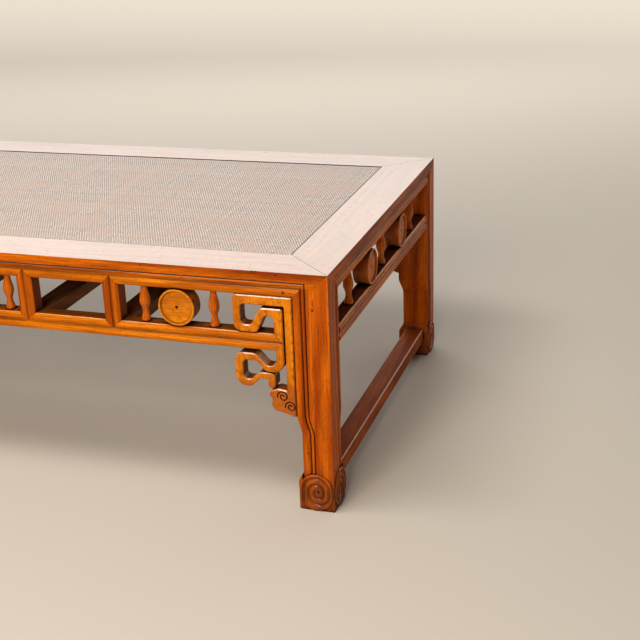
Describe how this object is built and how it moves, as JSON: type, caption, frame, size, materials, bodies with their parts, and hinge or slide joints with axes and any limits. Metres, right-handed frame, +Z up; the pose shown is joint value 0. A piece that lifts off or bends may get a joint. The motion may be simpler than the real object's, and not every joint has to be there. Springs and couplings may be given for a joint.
{
  "type": "kang table",
  "caption": "Low rectangular wooden table with a woven mat let into its mitred top, an open frieze of scrolls, drums and turned struts, and square legs that end in carved spiral feet.",
  "frame": {"origin": "on the floor, midway between the four legs", "axes": "+X along the length, +Y from the front to the back, +Z up"},
  "size_m": [1.4764, 0.8564, 0.48],
  "materials": {
    "top_wood": "waxed reddish hardwood, worn satin",
    "carved_wood": "waxed reddish hardwood, satin",
    "turned_wood": "waxed golden hardwood, satin",
    "hidden_wood": "plain dark softwood",
    "mat": "woven rattan, faded"
  },
  "bodies": {
    "root": {"apron_rail_back": "carved_wood", "apron_rail_front": "carved_wood", "apron_rail_left": "carved_wood", "apron_rail_right": "carved_wood", "balusters_back_centre": "turned_wood", "balusters_back_left": "turned_wood", "balusters_back_right": "turned_wood", "balusters_front_centre": "turned_wood", "balusters_front_left": "turned_wood", "balusters_front_right": "turned_wood", "balusters_left_end": "turned_wood", "balusters_right_end": "turned_wood", "cross_stretcher_1": "hidden_wood", "cross_stretcher_2": "hidden_wood", "cross_stretcher_3": "hidden_wood", "cross_stretcher_4": "hidden_wood", "divider_back_1": "carved_wood", "divider_back_2": "carved_wood", "divider_back_3": "carved_wood", "divider_back_4": "carved_wood", "divider_front_1": "carved_wood", "divider_front_2": "carved_wood", "divider_front_3": "carved_wood", "divider_front_4": "carved_wood", "drum_back_centre": "turned_wood", "drum_back_left": "turned_wood", "drum_back_right": "turned_wood", "drum_front_centre": "turned_wood", "drum_front_left": "turned_wood", "drum_front_right": "turned_wood", "drum_left_end_back": "turned_wood", "drum_left_end_front": "turned_wood", "drum_right_end_back": "turned_wood", "drum_right_end_front": "turned_wood", "leg_back_left": "carved_wood", "leg_back_right": "carved_wood", "leg_front_left": "carved_wood", "leg_front_right": "carved_wood", "low_stretcher_left": "carved_wood", "low_stretcher_right": "carved_wood", "lower_rail_back": "carved_wood", "lower_rail_front": "carved_wood", "lower_rail_left": "carved_wood", "lower_rail_right": "carved_wood", "panel_batten_1": "hidden_wood", "panel_batten_2": "hidden_wood", "panel_batten_3": "hidden_wood", "panel_board_1": "hidden_wood", "panel_board_2": "hidden_wood", "panel_board_3": "hidden_wood", "spandrel_back_left": "carved_wood", "spandrel_back_right": "carved_wood", "spandrel_front_left": "carved_wood", "spandrel_front_right": "carved_wood", "top_rail_back": "top_wood", "top_rail_front": "top_wood", "top_rail_left": "top_wood", "top_rail_right": "top_wood", "woven_mat": "mat"}
  },
  "joints": []
}
